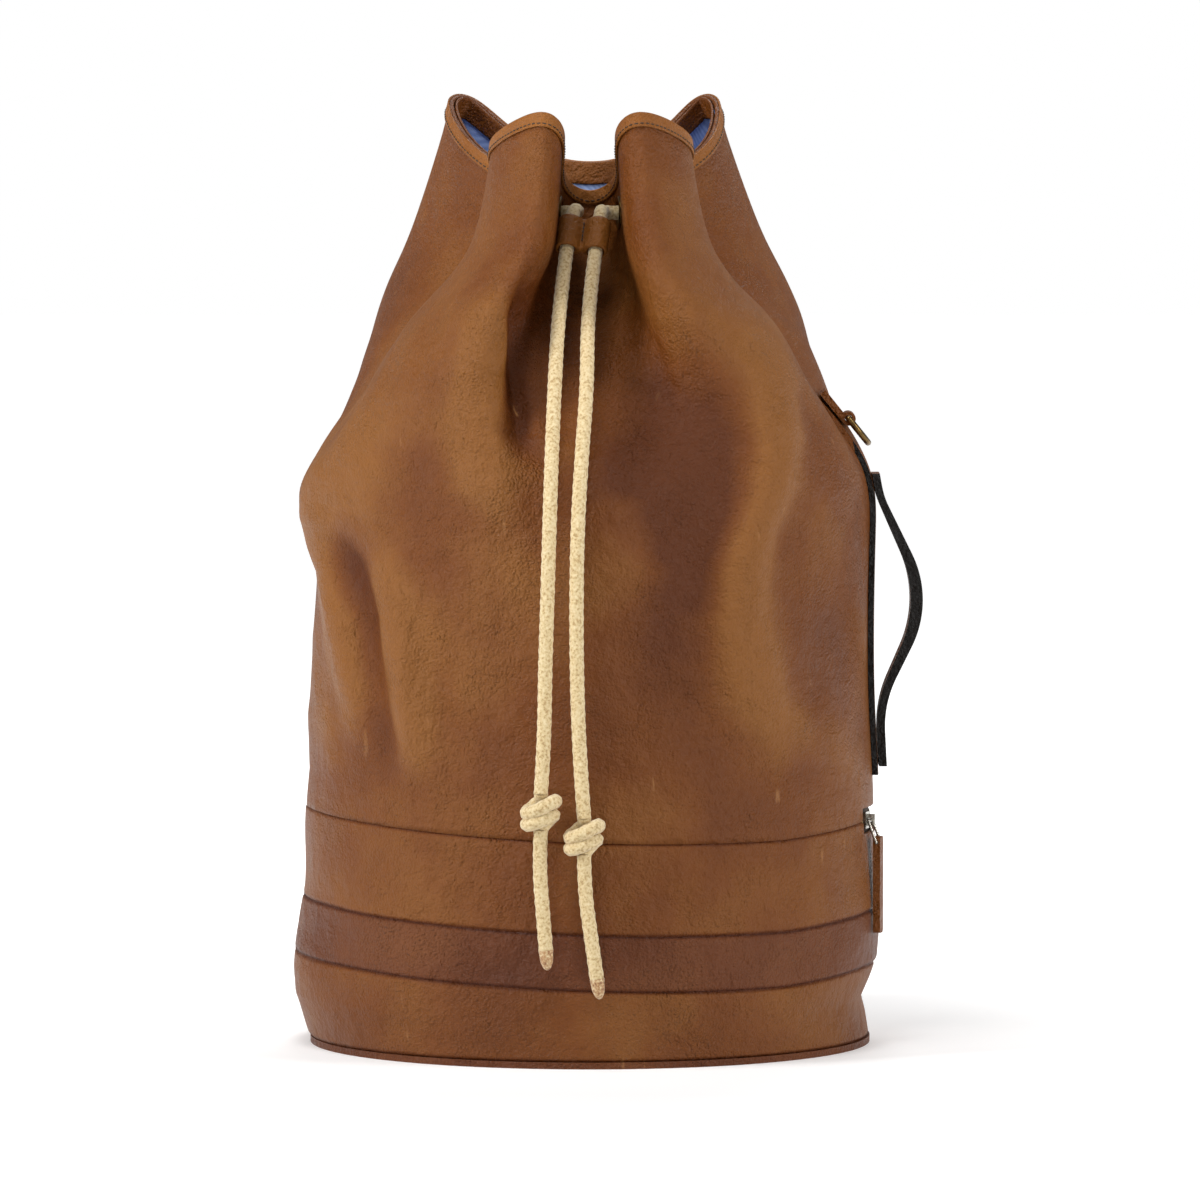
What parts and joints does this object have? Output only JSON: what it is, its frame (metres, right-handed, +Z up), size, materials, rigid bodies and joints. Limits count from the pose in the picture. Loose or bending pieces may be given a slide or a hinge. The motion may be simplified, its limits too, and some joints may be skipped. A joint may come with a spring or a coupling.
{
  "type": "drawstring duffel bag",
  "caption": "Upright round leather duffel bag with a gathered mouth, drawcord through eyelets, sliding cord toggle, side handle, D-ring and a zipped lower compartment.",
  "frame": {"origin": "centre of the base's underside, on the floor", "axes": "+Z up, along the bag; -Y is the side where the cord ends hang; +X is the side with the carrying handle"},
  "size_m": [0.3737, 0.3715, 0.5677],
  "materials": {
    "leather_main": "pebbled, satin",
    "leather_band": "pebbled, satin, redder",
    "lining_cotton": "matte twill",
    "cotton_cord": "matte braid",
    "glued_tip": "glued, hard",
    "antique_brass": "antique, satin",
    "zip_metal": "satin",
    "zip_tape": "matte",
    "slider_metal": "polished",
    "board": "matte"
  },
  "bodies": {
    "bag": {"base_band": "leather_main", "base_board": "board", "base_panel": "leather_band", "base_welt": "leather_band", "compartment_band": "leather_main", "compartment_divider": "leather_band", "cord_end_left": "cotton_cord", "cord_end_right": "cotton_cord", "cord_knot_left": "cotton_cord", "cord_knot_right": "cotton_cord", "cord_tail_left": "cotton_cord", "cord_tail_right": "cotton_cord", "cord_tip_left": "glued_tip", "cord_tip_right": "glued_tip", "d_ring_tab": "leather_main", "drawcord": "cotton_cord", "eyelet_1": "antique_brass", "eyelet_2": "antique_brass", "eyelet_3": "antique_brass", "eyelet_4": "antique_brass", "eyelet_5": "antique_brass", "eyelet_6": "antique_brass", "eyelet_7": "antique_brass", "eyelet_8": "antique_brass", "eyelet_washer_1": "antique_brass", "eyelet_washer_2": "antique_brass", "eyelet_washer_3": "antique_brass", "eyelet_washer_4": "antique_brass", "eyelet_washer_5": "antique_brass", "eyelet_washer_6": "antique_brass", "eyelet_washer_7": "antique_brass", "eyelet_washer_8": "antique_brass", "handle_backing": "leather_main", "handle_filler": "leather_main", "handle_strap": "leather_main", "lining": "lining_cotton", "main_panel": "leather_main", "middle_band": "leather_band", "mouth_binding": "leather_main", "mouth_facing": "leather_main", "side_strip": "leather_main", "zip_end_stops": "zip_metal", "zip_tape_lower": "zip_tape", "zip_tape_upper": "zip_tape", "zip_teeth_lower": "zip_metal", "zip_teeth_upper": "zip_metal"},
    "toggle": {"cord_toggle": "leather_main"},
    "ring": {"d_ring": "antique_brass"},
    "slider": {"zip_slider": "slider_metal"},
    "link": {"zip_pull_link": "slider_metal"},
    "puller": {"zip_puller": "leather_main"}
  },
  "joints": [
    {"name": "toggle_slide", "type": "slide", "parent": "bag", "child": "toggle", "axis": [-0.0999, -0.6191, -0.7789], "range_m": [0, 0.04]},
    {"name": "zip_travel", "type": "hinge", "parent": "bag", "child": "slider", "pos_m": [0, 0, 0.136], "axis": [0, 0, 1], "range_deg": [0, 170]},
    {"name": "link_swing", "type": "hinge", "parent": "slider", "child": "link", "pos_m": [0.16759, -0.03869, 0.136], "axis": [-0.225, -0.9744, 0], "range_deg": [0, 100]},
    {"name": "puller_swing", "type": "hinge", "parent": "link", "child": "puller", "pos_m": [0.17226, -0.03977, 0.12284], "axis": [-0.225, -0.9744, 0], "range_deg": [0, 80]},
    {"name": "ring_swing", "type": "hinge", "parent": "bag", "child": "ring", "pos_m": [0.15507, 0, 0.37482], "axis": [0, -1, 0], "range_deg": [0, 140]}
  ]
}
